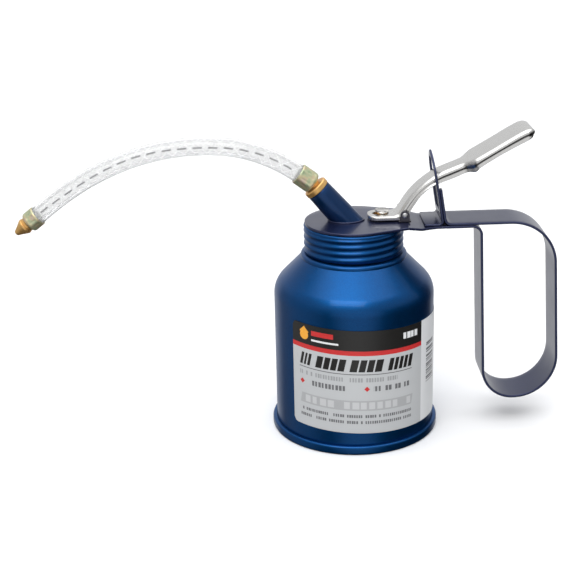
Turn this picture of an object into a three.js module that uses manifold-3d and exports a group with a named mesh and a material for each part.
// Handy oiler can: a small hand-held pump oiler with a bent-strip handle, a thumb lever
// and a flexible clear spout.
// Units are millimetres. The origin is the centre of the base on the surface it stands on,
// +Z is up, +X runs towards the handle and -X towards the spout.
//
// The thumb lever is a first-class lever: pressing the pad down lifts its front end, which
// lifts the plunger. The piston then pushes oil out through the pump head and the spout, and
// a spring above the piston brings everything back.

import * as THREE from "three";
import { mergeVertices } from "three/addons/utils/BufferGeometryUtils.js";
import Module from "manifold-3d";

const wasm = await Module();
wasm.setup();

// ------------------------------------------------------------------ driving dimensions

const FIT = 0.1; // gap between faces that rest on each other
const WIDE = 12; // half-width that reaches past the narrow pieces, for cutting shapes
const ROUND = 48; // segments of the large turned pieces
const SMALL_ROUND = 20; // segments of the small ones

const can = {
  radius: 28.5,
  wall: 0.8,
  shoulderZ: 50.5, // where the straight side ends
  shoulderBend: 9, // radius of the bend into the 45 degree shoulder
  seamRadius: 30,
  seamHeight: 3.2,
  sideFoot: 1, // where the side starts, inside the rolled seam
  panelRadius: 24.5,
  panelSheet: 0.8,
  beadRadius: 18.8,
  beadRound: 1.2,
  beadZ: 64.6,
  neckRadius: 16,
  neckTop: 73.4,
};

// The label's angles run from the front, -Y, towards the handle, +X; it is stuck on askew.
const label = { from: -52, to: 102, bottom: 7.9, height: 38.3, tilt: 2.2, paper: 0.15, glue: 0.06 };

const cap = {
  top: 76,
  sheet: 0.8,
  crest: 17.6, // outer radius on a rib
  firstCrest: 1.6, // below the top
  ribDepth: 0.5,
  ribPitch: 7 / 3, // three turns free the cap
  ribs: 3.5,
  inside: 16.4,
  gasketInside: 14.3,
  gasketOutside: 16.2,
};

const strap = {
  width: 15.6,
  sheet: 0.9,
  discRadius: 17.2,
  discZ: 76.55, // mid-plane of the plate on the cap
  runZ: 75.45, // mid-plane of the lower run, one small step down
  blendX: 28, // where the plate has narrowed to the strip
  legTopX: 44,
  legFootX: 46.4,
  footZ: 10.25,
  backFootX: 73.2,
  backTopX: 69.7,
  guideX: 31, // where the end turns up
  flangeTop: 89,
};

const guide = {
  sheet: 0.8,
  lean: 9, // degrees from upright, towards the can
  springZ: 91,
  tipZ: 101.5,
  slotHalf: 5.35,
  slotFoot: 80.4,
  slotSpring: 94.3,
  slotTop: 98.9,
};

const pump = {
  x: 10,
  headBottom: 66,
  headHalf: 4, // half-width of the block under the cap
  packingZ: 71.2,
  packingTop: 73.1,
  screwRadius: 2.7, // gland screw and the packing under it
  screwHole: 2.85,
  flangeRadius: 3.5,
  flangeSheet: 0.45,
  barrelRadius: 3.6,
  boreRadius: 2.9,
  barrelBottom: 30.05,
  barrelTop: 67.5,
  rodRadius: 1.2,
  pistonBottom: 40,
  pistonTop: 46,
  springTop: 70.1,
  springTurns: 8,
  wireRadius: 0.35,
  springRadius: 2,
  pistonRadius: 2.7,
  pistonBall: 1.1,
  footBottom: 21,
  footTop: 34,
  inletSeat: 25.5,
  inletBall: 1.6,
  inletBallZ: 26.9,
  tubeRadius: 1.7,
  tubeBottom: 5.4,
  tubeTop: 23.4,
  strainerRadius: 2.6,
  strainerBottom: 4,
  strainerTop: 10,
};

const spout = {
  x: -2.6, // where it stands on the plate
  angle: 49.1,
  length: 14.6,
  footRadius: 4.7,
  tipRadius: 4.3,
  bore: 3.1,
  stubRadius: 2.6,
  stubHole: 2.75,
  collarRadius: 4.45,
  collarHeight: 2,
  stemDepth: 6,
};

const lever = {
  pivot: [17.5, 79.6],
  sheet: 0.85,
  neckHalf: 4.75,
  padHalf: 7.75,
  noseX: 4.9,
  webTop: 79.1,
  skirtZ: 77.75, // lower edge of the nose's flanges
  padStart: 40,
  padEnd: 61.9,
  openingHalf: 1.9,
  openingReach: 2.9,
  eyeRadius: 1.7, // round end of the flanges about the pin
};

const pin = { radius: 0.7, head: 1.2, reach: 5.85, crown: 0.7, hole: 0.75, leverHole: 0.8 };
const bracket = { sheet: 0.5, ear: 0.7, earRadius: 1.6, earMiddle: 5.4, tongueHalf: 3.3, tongueEnd: 6 };

const ferruleOuter = 3.75; // at the spout
const ferruleLength = 5.9;
const tipFerruleOuter = 3.65;
const tipFerruleLength = 4.6;

// Centre line of the spout hose, x and z, from its barb to its nozzle.
const hoseRadius = 3.2;
const hoseRoute = [
  [-15.3, 91.5], [-19.6, 94.7], [-24.8, 98.0], [-30.4, 100.8], [-36.3, 102.9], [-42.6, 104.3],
  [-49.1, 104.9], [-55.7, 104.9], [-62.3, 104.3], [-68.8, 103.2], [-75.2, 101.6], [-81.4, 99.4],
  [-87.4, 96.8], [-93.2, 93.8], [-98.8, 90.3], [-104.1, 86.6], [-109.2, 82.6], [-112.9, 79.7],
];

// ------------------------------------------------------------------ small geometry helpers

const radians = THREE.MathUtils.degToRad;
const point = (x, y) => new THREE.Vector2(x, y);
const points = (pairs) => pairs.map(([x, y]) => point(x, y));

/** Points on an arc in a plane, angles in degrees. */
function arc(cx, cy, radius, from, to, steps) {
  const result = [];
  for (let i = 0; i <= steps; i++) {
    const angle = radians(from + ((to - from) * i) / steps);
    result.push([cx + radius * Math.cos(angle), cy + radius * Math.sin(angle)]);
  }
  return result;
}

/** A polyline whose corners [x, y, radius] are rounded; a corner with no radius stays sharp. */
function rounded(corners, stepsPerTurn = 24) {
  const result = [];
  corners.forEach(([x, y, radius], i) => {
    const here = point(x, y);
    if (!radius || i === 0 || i === corners.length - 1) {
      result.push(here);
      return;
    }
    const before = point(corners[i - 1][0], corners[i - 1][1]).sub(here).normalize();
    const after = point(corners[i + 1][0], corners[i + 1][1]).sub(here).normalize();
    const half = Math.acos(THREE.MathUtils.clamp(before.dot(after), -1, 1)) / 2;
    const inward = before.clone().add(after).normalize();
    const centre = here.clone().addScaledVector(inward, radius / Math.sin(half));
    const reach = radius / Math.tan(half);
    const start = here.clone().addScaledVector(before, reach).sub(centre);
    const end = here.clone().addScaledVector(after, reach).sub(centre);
    const sweep = Math.atan2(start.cross(end), start.dot(end));
    const steps = Math.max(2, Math.ceil((Math.abs(sweep) / (2 * Math.PI)) * stepsPerTurn));
    for (let k = 0; k <= steps; k++) {
      result.push(start.clone().rotateAround(point(0, 0), (sweep * k) / steps).add(centre));
    }
  });
  return result;
}

/** A line moved sideways, to its left for a positive distance. */
function offset(line, distance) {
  return line.map((here, i) => {
    const before = line[Math.max(i - 1, 0)];
    const after = line[Math.min(i + 1, line.length - 1)];
    const into = here.clone().sub(before).normalize();
    const out = after.clone().sub(here).normalize();
    const along = into.clone().add(out).normalize();
    const stretch = i === 0 || i === line.length - 1 ? 1 : along.dot(out);
    return point(here.x - (along.y * distance) / stretch, here.y + (along.x * distance) / stretch);
  });
}

/** The outline of a bent strip, from its centre line and thickness. */
const strip = (line, sheet) => [...offset(line, sheet / 2), ...offset(line, -sheet / 2).reverse()];

/** A smooth line through a few points. */
const smooth = (pairs, steps) => new THREE.SplineCurve(points(pairs)).getPoints(steps);

/** Turns a profile of [radius, z] about the Z axis. */
function turned(profile, segments = SMALL_ROUND) {
  return new THREE.LatheGeometry(points(profile), segments).rotateX(Math.PI / 2);
}

/** A tube or ring of square section about the Z axis. */
function ring(inner, outer, bottom, top, segments = SMALL_ROUND) {
  const profile = [[inner, bottom], [outer, bottom], [outer, top], [inner, top], [inner, bottom]];
  return turned(profile, segments);
}

/** A solid cylinder about the Z axis. */
const rod = (radius, bottom, top, segments = SMALL_ROUND) =>
  turned([[0, bottom], [radius, bottom], [radius, top], [0, top]], segments);

/** An outline drawn in X and Y, extruded from bottom to top. */
function slab(outline, bottom, top) {
  const shape = new THREE.Shape(outline);
  const options = { depth: top - bottom, bevelEnabled: false };
  return new THREE.ExtrudeGeometry(shape, options).translate(0, 0, bottom);
}

/** An outline drawn in X and Z, extruded across Y to both sides of the middle. */
function across(outline, halfWidth, middle = 0) {
  const shape = new THREE.Shape(outline);
  const options = { depth: 2 * halfWidth, bevelEnabled: false };
  return new THREE.ExtrudeGeometry(shape, options)
    .translate(0, 0, -halfWidth)
    .rotateX(Math.PI / 2)
    .translate(0, middle, 0);
}

/** A box about the middle plane. */
const block = (x0, x1, halfWidth, z0, z1) =>
  across(points([[x0, z0], [x1, z0], [x1, z1], [x0, z1]]), halfWidth);

/** Lays a shape that was made about the Z axis along a direction in the X-Z plane. */
function aim(geometry, [x, z], [dx, dz]) {
  return geometry.rotateY(Math.atan2(dx, dz)).translate(x, 0, z);
}

/** Turns a shape that was made about the Z axis so that it lies along Y, through (x, z). */
const crosswise = (geometry, x, z) => geometry.rotateX(Math.PI / 2).translate(x, 0, z);

/** A closed geometry as a solid for joining and cutting. */
function solid(geometry) {
  const bare = new THREE.BufferGeometry();
  bare.setAttribute("position", geometry.getAttribute("position").clone());
  if (geometry.index) bare.setIndex(geometry.index.clone());
  const merged = mergeVertices(bare, 1e-4);
  const index = merged.index.array;
  const triangles = [];
  for (let i = 0; i < index.length; i += 3) {
    const [a, b, c] = [index[i], index[i + 1], index[i + 2]];
    if (a !== b && b !== c && c !== a) triangles.push(a, b, c);
  }
  const vertices = new Float32Array(merged.getAttribute("position").array);
  const build = (list) => {
    const triVerts = new Uint32Array(list);
    return new wasm.Manifold(new wasm.Mesh({ numProp: 3, vertProperties: vertices, triVerts }));
  };
  const result = build(triangles);
  return result.volume() > 0 ? result : build(triangles.reverse());
}

/** A solid back as a three.js geometry. */
function geometryOf(manifold) {
  const mesh = manifold.getMesh();
  const geometry = new THREE.BufferGeometry();
  geometry.setAttribute("position", new THREE.BufferAttribute(new Float32Array(mesh.vertProperties), 3));
  geometry.setIndex(new THREE.BufferAttribute(new Uint32Array(mesh.triVerts), 1));
  geometry.computeVertexNormals();
  return geometry;
}

const cut = (shape, ...tools) => tools.reduce((rest, tool) => rest.subtract(solid(tool)), shape);
const join = (shape, ...others) => others.reduce((whole, other) => whole.add(solid(other)), shape);

// ------------------------------------------------------------------ materials

const paint = (color, roughness, metalness) =>
  new THREE.MeshStandardMaterial({ color, roughness, metalness });

const finish = {
  bluePaint: () => paint(0x12468c, 0.28, 0.7),
  navyPaint: () => paint(0x161e48, 0.3, 0.5),
  chrome: () => paint(0xc8c8c4, 0.22, 1),
  brass: () => paint(0xc08a4a, 0.35, 1),
  zinc: () => paint(0xb4b88e, 0.38, 0.9),
  steel: () => paint(0x9a9c9f, 0.35, 1),
  clearHose: () => paint(0xe4e6e2, 0.25, 0),
  paper: () => paint(0xb6b9bb, 0.5, 0.1),
  cork: () => paint(0x9b6b3f, 0.9, 0),
  rubber: () => paint(0x1c1c1e, 0.8, 0),
};

const oiler = new THREE.Group();

/** Adds one named piece to the oiler. */
function piece(name, shape, material, parent = oiler) {
  const geometry = shape.isBufferGeometry ? shape : geometryOf(shape);
  const mesh = new THREE.Mesh(geometry, material());
  mesh.name = name;
  parent.add(mesh);
  return mesh;
}

// ------------------------------------------------------------------ the can

function bodyShell() {
  const bend = can.shoulderBend;
  const bendX = can.radius - bend;
  const beadCore = can.beadRadius - can.beadRound;
  const outside = [
    [can.radius, can.sideFoot],
    ...arc(bendX, can.shoulderZ, bend, 0, 45, 5),
    ...arc(beadCore, can.beadZ, can.beadRound, -20, 90, 4),
    [can.neckRadius, can.beadZ + can.beadRound],
    [can.neckRadius, can.neckTop],
  ];
  const inBend = bend - can.wall;
  const slope = bendX + can.shoulderZ + inBend * Math.SQRT2;
  const neckInside = can.neckRadius - can.wall;
  const inside = [
    [neckInside, can.neckTop],
    [neckInside, slope - neckInside],
    ...arc(bendX, can.shoulderZ, inBend, 45, 0, 3),
    [can.radius - can.wall, can.sideFoot],
  ];
  return turned([...outside, ...inside, outside[0]], ROUND);
}

/** Sheet base: a sunk panel, the foot ring it stands on and the roll around the side's edge. */
function basePlate() {
  const { panelRadius, panelSheet, seamRadius, seamHeight, sideFoot } = can;
  const wallOut = can.radius + FIT + 0.05;
  const wallIn = can.radius - can.wall - FIT - 0.05;
  const upstand = 2.4;
  const roundness = 0.6;
  const panel = [[0, 0], [panelRadius, 0], [panelRadius + roundness, sideFoot]];
  const footRing = [[wallIn - 1, sideFoot], [wallIn - roundness, 0], [seamRadius - 0.5, 0]];
  const roll = [
    [seamRadius, 0.5],
    [seamRadius, seamHeight - roundness],
    [seamRadius - roundness, seamHeight],
    [wallOut, seamHeight],
    [wallOut, sideFoot - FIT],
    [wallIn, sideFoot - FIT],
    [wallIn, upstand],
    [wallIn - 0.7, upstand],
  ];
  const upperFace = [
    [wallIn - 1.2, sideFoot + panelSheet],
    [panelRadius, sideFoot + panelSheet],
    [panelRadius - roundness, panelSheet],
    [0, panelSheet],
  ];
  return turned([...panel, ...footRing, ...roll, ...upperFace], ROUND);
}

/** A curved sticker whose lower and upper edges drop towards the handle. */
function productLabel() {
  const inside = can.radius + label.glue;
  const steps = 28;
  const line = arc(0, 0, inside, label.from - 90, label.to - 90, steps);
  const back = arc(0, 0, inside + label.paper, label.to - 90, label.from - 90, steps);
  const geometry = slab(points([...line, ...back]), label.bottom, label.bottom + label.height);
  const place = geometry.getAttribute("position");
  const drop = Math.tan(radians(label.tilt)) * inside;
  for (let i = 0; i < place.count; i++) {
    const angle = Math.atan2(place.getX(i), -place.getY(i));
    place.setZ(i, place.getZ(i) - drop * angle);
  }
  return geometry;
}

piece("body_shell", bodyShell(), finish.bluePaint);
piece("base_plate", basePlate(), finish.bluePaint);
piece("product_label", productLabel(), finish.paper);

// ------------------------------------------------------------------ the screw cap

const glandHole = () => rod(pump.screwHole, 60, 90).translate(pump.x, 0, 0);
const outletHole = () => rod(spout.stubHole, 60, 90).translate(spout.x, 0, 0);

function capShell() {
  const middle = cap.crest - cap.ribDepth / 2;
  const firstCrest = cap.top - cap.firstCrest;
  const steps = 21;
  const ribs = [];
  for (let i = 0; i <= steps; i++) {
    const turns = (i / steps) * cap.ribs;
    ribs.push([
      middle + (cap.ribDepth / 2) * Math.cos(2 * Math.PI * turns),
      firstCrest - turns * cap.ribPitch,
    ]);
  }
  const skirtEnd = ribs[ribs.length - 1][1];
  const profile = [
    [0, cap.top],
    [cap.crest - 0.9, cap.top],
    [cap.crest - 0.2, cap.top - 0.4],
    ...ribs,
    [cap.inside, skirtEnd],
    [cap.inside, cap.top - cap.sheet],
    [0, cap.top - cap.sheet],
  ];
  return cut(solid(turned(profile, ROUND)), glandHole(), outletHole());
}

const capGasket = () =>
  ring(cap.gasketInside, cap.gasketOutside, can.neckTop + FIT, cap.top - cap.sheet - FIT, 32);

piece("cap_shell", capShell(), finish.bluePaint);
piece("cap_gasket", capGasket(), finish.cork);

// ------------------------------------------------------------------ handle strap and guide

/** Plan outline: a disc on the cap that narrows along two tangents into the strip. */
function strapPlan() {
  const half = strap.width / 2;
  const reach = Math.hypot(strap.blendX, half);
  const swing = Math.acos(strap.discRadius / reach) + Math.atan2(half, strap.blendX);
  const edge = (swing * 180) / Math.PI;
  return points([
    ...arc(0, 0, strap.discRadius, edge, 360 - edge, 40),
    [strap.blendX, -half],
    [90, -half],
    [90, half],
    [strap.blendX, half],
  ]);
}

const guideSlope = Math.tan(radians(guide.lean));

function strapLine() {
  const topRun = strap.runZ + strap.sheet + 0.08;
  const turnUp = strap.guideX + (80 - topRun) * guideSlope;
  const flangeX = strap.guideX - (strap.flangeTop - 80) * guideSlope;
  return rounded([
    [-20, strap.discZ],
    [18, strap.discZ, 4],
    [23, strap.runZ, 4],
    [strap.legTopX, strap.runZ, 3.2],
    [strap.legFootX, strap.footZ, 11],
    [strap.backFootX, strap.footZ, 15],
    [strap.backTopX, topRun, 16],
    [turnUp, topRun, 2.4],
    [flangeX, strap.flangeTop],
  ], 40);
}

function handleStrap() {
  const side = solid(across(strip(strapLine(), strap.sheet), 20));
  const plan = solid(slab(strapPlan(), 0, 120));
  const slot = block(26, 34, guide.slotHalf, guide.slotFoot, 95);
  return cut(side.intersect(plan), glandHole(), outletHole(), slot);
}

/** Half of a pointed arch, from its springing to its tip, as [y, z] pairs. */
function archSide(half, spring, tip, steps) {
  const rise = tip - spring;
  const radius = (half * half + rise * rise) / (2 * half);
  const end = (Math.asin(Math.min(1, rise / radius)) * 180) / Math.PI;
  const last = radius > half ? end : 180 - end;
  return arc(half - radius, spring, radius, 0, last, steps);
}

/** The closed outline of a pointed arch standing on footZ, drawn in Y and Z. */
function archOutline(half, foot, spring, tip) {
  const right = archSide(half, spring, tip, 8);
  const left = right.slice(0, -1).reverse().map(([y, z]) => [-y, z]);
  return points([[-half, foot], [half, foot], ...right, ...left]);
}

/** An outline drawn in Y and Z, extruded along X. */
function along(outline, x0, x1) {
  const shape = new THREE.Shape(outline);
  const geometry = new THREE.ExtrudeGeometry(shape, { depth: x1 - x0, bevelEnabled: false });
  return geometry.rotateY(Math.PI / 2).rotateX(Math.PI / 2).translate(x0, 0, 0);
}

/** Pointed blade with a foot on the strap's lower run; it stands in front of the upturned end. */
function leverGuide() {
  const footZ = strap.runZ + strap.sheet / 2 + 0.08 + guide.sheet / 2;
  const bladeX = strap.guideX - strap.sheet / 2 - 0.1 - guide.sheet / 2;
  const corner = bladeX + (80 - footZ) * guideSlope;
  const top = guide.tipZ + 2;
  const line = rounded([
    [24.2, footZ],
    [corner, footZ, 1.3],
    [bladeX - (top - 80) * guideSlope, top],
  ], 40);
  const side = solid(across(strip(line, guide.sheet), strap.width / 2));
  const outer = solid(along(archOutline(strap.width / 2, 60, guide.springZ, guide.tipZ), 15, 40));
  const slot = along(archOutline(guide.slotHalf, guide.slotFoot, guide.slotSpring, guide.slotTop), 22, 40);
  return cut(side.intersect(outer), slot);
}

piece("handle_strap", handleStrap(), finish.navyPaint);
piece("lever_guide", leverGuide(), finish.navyPaint);

// ------------------------------------------------------------------ lever, bracket and pin

const plateTop = strap.discZ + strap.sheet / 2;
const [pivotX, pivotZ] = lever.pivot;

/** Top line of the lever from its nose, up the neck and along the pad. */
function leverTopLine() {
  const neck = smooth([
    [14, lever.webTop], [15.9, 80.7], [17.8, 84], [21, 87.9], [24, 90.6], [27.5, 93], [31, 94.8],
    [37, 97], [40, 98.6],
  ], 26);
  const pad = rounded([
    [48, 103.25],
    [58.8, 109.6, 3],
    [lever.padEnd, 108.4, 1.2],
    [lever.padEnd, 106.9],
  ], 24);
  return [point(lever.noseX, lever.webTop), ...neck, ...pad];
}

/** Lower edge of the side flanges from the tip of the pad back to the nose. */
function leverLowerLine() {
  return points([
    [59.9, 106], [49.5, 100.6], [42.7, 96.5], [41.5, 94.8], [39.4, 94.4], [34, 92.2], [30.4, 90.9],
    [26.5, 89.1], [23, 86.1], [20.7, 82.8],
    ...arc(pivotX, pivotZ, lever.eyeRadius, 20, -90, 8),
    [15.6, lever.skirtZ],
    [lever.noseX, lever.skirtZ],
  ]);
}

/** Plan outline of the lever, or of its inside for a positive inset. */
function leverPlan(inset) {
  const neck = lever.neckHalf - inset;
  const pad = lever.padHalf - inset;
  const nose = lever.noseX + inset;
  const end = lever.padEnd + 0.5 - inset;
  const side = rounded([
    [nose, 0],
    [nose, neck, 3.6 - inset],
    [lever.padStart - 2.4, neck, 2],
    [lever.padStart + 1.4 - inset * 0.5, pad, 2],
    [end, pad, 3.4 - inset],
    [end, 0],
  ], 32);
  const mirrored = side.slice(1, -1).reverse().map((p) => point(p.x, -p.y));
  return [...side, ...mirrored];
}

/** Slot with round ends in the nose, for the plunger's neck. */
function leverOpening() {
  const middle = pump.x - 0.5;
  const half = lever.openingHalf;
  const end = lever.openingReach - half;
  return points([...arc(middle + end, 0, half, -90, 90, 10), ...arc(middle - end, 0, half, 90, 270, 10)]);
}

function thumbLever() {
  const top = leverTopLine();
  const outside = solid(across([...top, ...leverLowerLine()], WIDE));
  const insideEnd = lever.padEnd - lever.sheet;
  const under = offset(top, -lever.sheet).filter((p) => p.x < insideEnd);
  const floor = points([[insideEnd, 60], [lever.noseX, 60]]);
  const inside = solid(slab(leverPlan(lever.sheet), 50, 120));
  const hollow = solid(across([...under, ...floor], WIDE)).intersect(inside);
  const body = outside.intersect(solid(slab(leverPlan(0), 50, 120))).subtract(hollow);
  const bore = crosswise(rod(pin.leverHole, -WIDE, WIDE), pivotX, pivotZ);
  return cut(body, slab(leverOpening(), 70, 82), bore);
}

/** Saddle under the lever, clamped by the gland screw, with an ear outside each flange. */
function pivotBracket() {
  const { tongueHalf, tongueEnd, earRadius, earMiddle } = bracket;
  const bottom = plateTop + FIT;
  const top = bottom + bracket.sheet;
  const outside = earMiddle + bracket.ear / 2;
  const tongue = block(tongueEnd, pivotX - 1.5, tongueHalf, bottom, top);
  const seat = block(pivotX - 2.1, pivotX + 2.1, outside, bottom, top);
  const ear = points([
    [pivotX - earRadius, bottom],
    [pivotX + earRadius, bottom],
    ...arc(pivotX, pivotZ, earRadius, 0, 180, 12),
  ]);
  const ears = [earMiddle, -earMiddle].map((y) => across(ear, bracket.ear / 2, y));
  const whole = join(solid(tongue), seat, ...ears);
  return cut(whole, glandHole(), crosswise(rod(pin.hole, -WIDE, WIDE), pivotX, pivotZ));
}

function pivotPin() {
  const { radius, head, reach, crown } = pin;
  const lower = [[0, -reach - crown], [0.9, -reach - 0.5], [head, -reach], [radius, -reach]];
  const upper = lower.map(([r, z]) => [r, -z]).reverse();
  return crosswise(turned([...lower, ...upper]), pivotX, pivotZ);
}

piece("thumb_lever", thumbLever(), finish.chrome);
piece("pivot_bracket", pivotBracket(), finish.chrome);
piece("pivot_pin", pivotPin(), finish.steel);

// ------------------------------------------------------------------ the pump

/** Pieces that are round about the pump's own axis are made about Z and set over it. */
const pumpAxis = new THREE.Group();
pumpAxis.position.x = pump.x;
oiler.add(pumpAxis);

const headTop = cap.top - cap.sheet - FIT;
const glandWay = 1.35; // bore of the gland screw around the rod

/** Brass block under the cap: it joins the barrel to the spout and holds the packing. */
function pumpHead() {
  const { headBottom, headHalf, packingZ, barrelTop } = pump;
  const outline = [
    ...arc(pump.x, 0, headHalf, -90, 90, 12),
    ...arc(spout.x, 0, headHalf, 90, 270, 12),
  ];
  const overPump = (radius, bottom, top) => rod(radius, bottom, top).translate(pump.x, 0, 0);
  const overSpout = (radius, bottom, top) => rod(radius, bottom, top).translate(spout.x, 0, 0);
  const chamber = overPump(pump.boreRadius, barrelTop - 0.3, pump.springTop + FIT);
  const socket = overPump(pump.barrelRadius + FIT, headBottom - 1, barrelTop + FIT);
  const rodWay = overPump(1.4, 60, 80);
  const packing = overPump(pump.screwHole, packingZ, 80);
  const passage = aim(rod(1.2, 0, pump.x - spout.x, 12), [spout.x, 68.9], [1, 0]);
  const outlet = overSpout(1.6, 67.4, 80);
  const counterbore = overSpout(spout.stubHole, 73.4, 80);
  return cut(solid(slab(points(outline), headBottom, headTop)),
    chamber, socket, rodWay, packing, passage, outlet, counterbore);
}

/** Hollow screw that presses the packing; its flange clamps the pivot bracket. */
function glandScrew() {
  const { screwRadius, flangeRadius, flangeSheet } = pump;
  const bottom = pump.packingTop + FIT;
  const flangeBottom = plateTop + FIT + bracket.sheet + 0.05;
  const flangeTop = flangeBottom + flangeSheet;
  return turned([
    [glandWay, bottom], [screwRadius, bottom], [screwRadius, flangeBottom],
    [flangeRadius, flangeBottom], [flangeRadius, flangeTop], [glandWay, flangeTop], [glandWay, bottom],
  ]);
}

/** Rod with a button head: the underside of the head is part of a ball, so it rolls in the lever. */
function plungerRod() {
  const ball = 2.6;
  const centreZ = lever.webTop + 1.88;
  const buttonTop = centreZ - 0.65;
  const edge = Math.asin((buttonTop - centreZ) / ball);
  const neck = -Math.acos(pump.rodRadius / ball);
  const under = arc(0, centreZ, ball, (neck * 180) / Math.PI, (edge * 180) / Math.PI, 6);
  const profile = [
    [0, pump.pistonTop + FIT], [2.6, pump.pistonTop + FIT], [2.6, pump.pistonTop + 1],
    [pump.rodRadius, pump.pistonTop + 1], ...under, [2.2, buttonTop + 0.3], [0, buttonTop + 0.3],
  ];
  const drive = block(-3, 3, 0.35, buttonTop - 0.3, buttonTop + 2);
  return cut(solid(turned(profile)), drive);
}

/** Piston with a seal groove, a ball chamber inside and two ports under the rod's flange. */
function piston() {
  const { pistonBottom: z, pistonTop: top, pistonRadius: outer } = pump;
  const groove = outer - 0.5;
  const chamber = 1.5;
  const port = 0.7;
  const profile = [
    [port, z], [outer, z], [outer, z + 0.8], [groove, z + 0.8], [groove, z + 4], [outer, z + 4],
    [outer, top], [chamber, top], [chamber, z + 1], [port, z + 1], [port, z],
  ];
  return cut(solid(turned(profile)), block(-3, 3, 0.6, top - 1.2, top + 1));
}

/** Compression spring between the top of the pump head's chamber and the rod's flange. */
function returnSpring() {
  const bottom = pump.pistonTop + 1 + FIT + pump.wireRadius;
  const height = pump.springTop - pump.wireRadius - bottom;
  const steps = pump.springTurns * 10;
  const line = [];
  for (let i = 0; i <= steps; i++) {
    const angle = (2 * Math.PI * pump.springTurns * i) / steps;
    line.push(new THREE.Vector3(
      pump.springRadius * Math.cos(angle),
      pump.springRadius * Math.sin(angle),
      bottom + (height * i) / steps,
    ));
  }
  const section = new THREE.Shape(points(arc(0, 0, pump.wireRadius, 0, 288, 4)));
  const path = new THREE.CatmullRomCurve3(line);
  return new THREE.ExtrudeGeometry(section, { steps, extrudePath: path, bevelEnabled: false });
}

/** Cup pressed on the barrel's lower end: a ball seat with a cage above it and the tube's socket. */
function footValve() {
  const { footBottom: bottom, footTop: top, inletSeat: seat } = pump;
  const outer = pump.barrelRadius + 0.7;
  const socket = pump.barrelRadius + FIT;
  const tubeSocket = pump.tubeRadius + FIT;
  const tubeStop = pump.tubeTop + FIT;
  const [inlet, cage, lip] = [0.9, 2.2, 1.3];
  const lipBottom = pump.barrelBottom - 0.75;
  const lipTop = pump.barrelBottom - 0.05;
  return turned([
    [tubeSocket, bottom], [outer - 0.5, bottom], [outer, bottom + 0.5], [outer, top], [socket, top],
    [socket, lipTop], [lip, lipTop], [lip, lipBottom], [cage, lipBottom], [cage, seat],
    [inlet, seat], [inlet, tubeStop], [tubeSocket, tubeStop], [tubeSocket, bottom],
  ]);
}

/** Perforated cup that closes the lower end of the dip tube. */
function strainer() {
  const { strainerRadius: outer, strainerBottom: bottom, strainerTop: top } = pump;
  const inner = outer - 0.75;
  const profile = [
    [0, bottom], [outer, bottom], [outer, top], [inner, top], [inner, bottom + 0.8], [0, bottom + 0.8],
  ];
  const windows = [0, 60, 120].map((turn) =>
    block(-4, 4, 0.45, bottom + 1.2, bottom + 2.4).rotateZ(radians(turn)));
  return cut(solid(turned(profile)), ...windows);
}

const ball = (radius, z) => new THREE.SphereGeometry(radius, 12, 8).translate(0, 0, z);

const { pistonBottom, packingZ, packingTop, screwRadius } = pump;
const seal = ring(2.3, 2.8, pistonBottom + 0.9, pistonBottom + 3.9);
const barrel = ring(pump.boreRadius, pump.barrelRadius, pump.barrelBottom, pump.barrelTop);
const dipTube = ring(pump.tubeRadius - 0.6, pump.tubeRadius, pump.tubeBottom, pump.tubeTop, 16);

piece("pump_head", pumpHead(), finish.brass);
piece("gland_screw", glandScrew(), finish.brass, pumpAxis);
piece("rod_packing", ring(1.3, screwRadius, packingZ + FIT, packingTop), finish.rubber, pumpAxis);
piece("plunger_rod", plungerRod(), finish.steel, pumpAxis);
piece("piston", piston(), finish.brass, pumpAxis);
piece("piston_seal", seal, finish.rubber, pumpAxis);
piece("piston_ball", ball(pump.pistonBall, pistonBottom + 1.92), finish.steel, pumpAxis);
piece("return_spring", returnSpring(), finish.steel, pumpAxis);
piece("pump_barrel", barrel, finish.brass, pumpAxis);
piece("foot_valve", footValve(), finish.brass, pumpAxis);
piece("inlet_ball", ball(pump.inletBall, pump.inletBallZ), finish.steel, pumpAxis);
piece("dip_tube", dipTube, finish.brass, pumpAxis);
piece("strainer", strainer(), finish.brass, pumpAxis);

// ------------------------------------------------------------------ spout, hose and nozzle

const spoutFoot = [spout.x, plateTop + FIT];
const spoutWay = [-Math.cos(radians(spout.angle)), Math.sin(radians(spout.angle))];
const onSpout = (distance) => [
  spoutFoot[0] + spoutWay[0] * distance,
  spoutFoot[1] + spoutWay[1] * distance,
];

/** Leaning tube on a threaded stub that goes down through the plate and the cap. */
function spoutBase() {
  const grow = spout.footRadius + (spout.footRadius - spout.tipRadius) * 0.6;
  const tube = aim(turned([[0, -9], [grow, -9], [spout.tipRadius, spout.length], [0, spout.length]], 24),
    spoutFoot, spoutWay);
  const above = block(-60, 60, 30, spoutFoot[1], 130);
  const stub = rod(spout.stubRadius, 73.6, spoutFoot[1] + 1).translate(spout.x, 0, 0);
  const bore = aim(rod(spout.bore, 3.4, spout.length + 2), spoutFoot, spoutWay);
  const way = rod(1.5, 70, spoutFoot[1] + 4.6).translate(spout.x, 0, 0);
  return cut(join(solid(tube).intersect(solid(above)), stub), bore, way);
}

/** Brass fitting: a stem in the tube, a collar against its end and a neck into the ferrule. */
function hoseFitting() {
  const { bore, collarRadius, collarHeight, stemDepth } = spout;
  const start = spout.length + FIT;
  const collarEnd = start + collarHeight;
  const [stem, neck, way] = [bore - 0.15, 2.1, 0.9];
  const profile = [
    [way, start - stemDepth], [stem, start - stemDepth], [stem, start], [collarRadius, start],
    [collarRadius, collarEnd], [neck, collarEnd + 0.2], [neck, collarEnd + 1.5],
    [way, collarEnd + 1.5], [way, start - stemDepth],
  ];
  return aim(turned(profile), spoutFoot, spoutWay);
}

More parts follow.
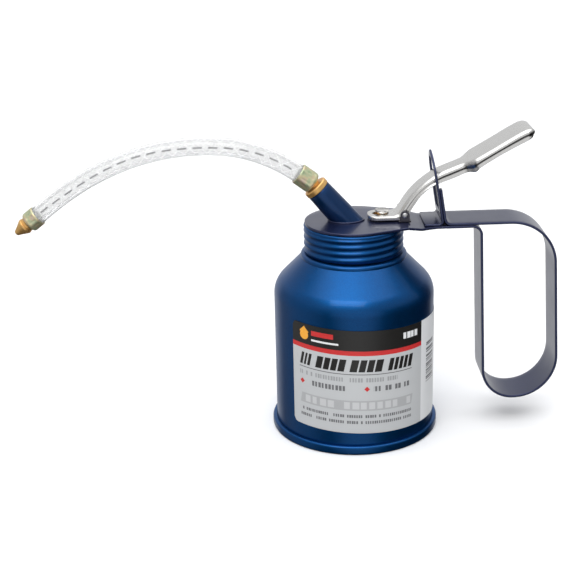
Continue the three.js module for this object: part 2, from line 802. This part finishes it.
/** Crimped sleeve over an end of the hose, with a lip towards the fitting. */
function ferrule(length, outer, lipBore) {
  const inner = hoseRadius + 0.15;
  return turned([
    [lipBore, 0], [outer - 0.3, 0], [outer, 0.3], [outer, length - 0.3], [outer - 0.15, length],
    [inner, length], [inner, 0.5], [lipBore, 0.5], [lipBore, 0],
  ]);
}

function spoutHose() {
  const path = new THREE.CatmullRomCurve3(hoseRoute.map(([x, z]) => new THREE.Vector3(x, 0, z)));
  const section = new THREE.Shape(points(arc(0, 0, hoseRadius, 0, 324, 9)));
  return new THREE.ExtrudeGeometry(section, { steps: 32, extrudePath: path, bevelEnabled: false });
}

/** Unit direction between two route points. */
function heading([ax, az], [bx, bz]) {
  const size = Math.hypot(bx - ax, bz - az);
  return [(bx - ax) / size, (bz - az) / size];
}

const hoseStart = hoseRoute[0];
const hoseEnd = hoseRoute[hoseRoute.length - 1];
const startWay = heading(hoseStart, hoseRoute[1]);
const endWay = heading(hoseRoute[hoseRoute.length - 2], hoseEnd);
const backWay = endWay.map((value) => -value);
const stepBack = ([x, z], [dx, dz], distance) => [x - dx * distance, z - dz * distance];

/** Brass nozzle: a neck through the ferrule's lip, a collar and a cone with a fine bore. */
function nozzleTip() {
  const profile = [
    [0.5, 0.15], [1.7, 0.15], [1.7, 1.1], [2.3, 1.1], [2.3, 2.2], [2.75, 2.4], [2.75, 2.9],
    [0.95, 6.3], [0.5, 6.5], [0.5, 0.15],
  ];
  return aim(turned(profile), hoseEnd, endWay);
}

piece("spout_base", spoutBase(), finish.navyPaint);
piece("hose_fitting", hoseFitting(), finish.brass);
const lipGap = 0.65; // from a hose end to the outer face of its ferrule's lip
const spoutFerrule = ferrule(ferruleLength, ferruleOuter, 2.6);
const tipFerrule = ferrule(tipFerruleLength, tipFerruleOuter, 1.9);

piece("crimp_ferrule", aim(spoutFerrule, stepBack(hoseStart, startWay, lipGap), startWay), finish.zinc);
piece("spout_hose", spoutHose(), finish.clearHose);
piece("tip_ferrule", aim(tipFerrule, stepBack(hoseEnd, backWay, lipGap), backWay), finish.zinc);
piece("nozzle_tip", nozzleTip(), finish.brass);

export default oiler;
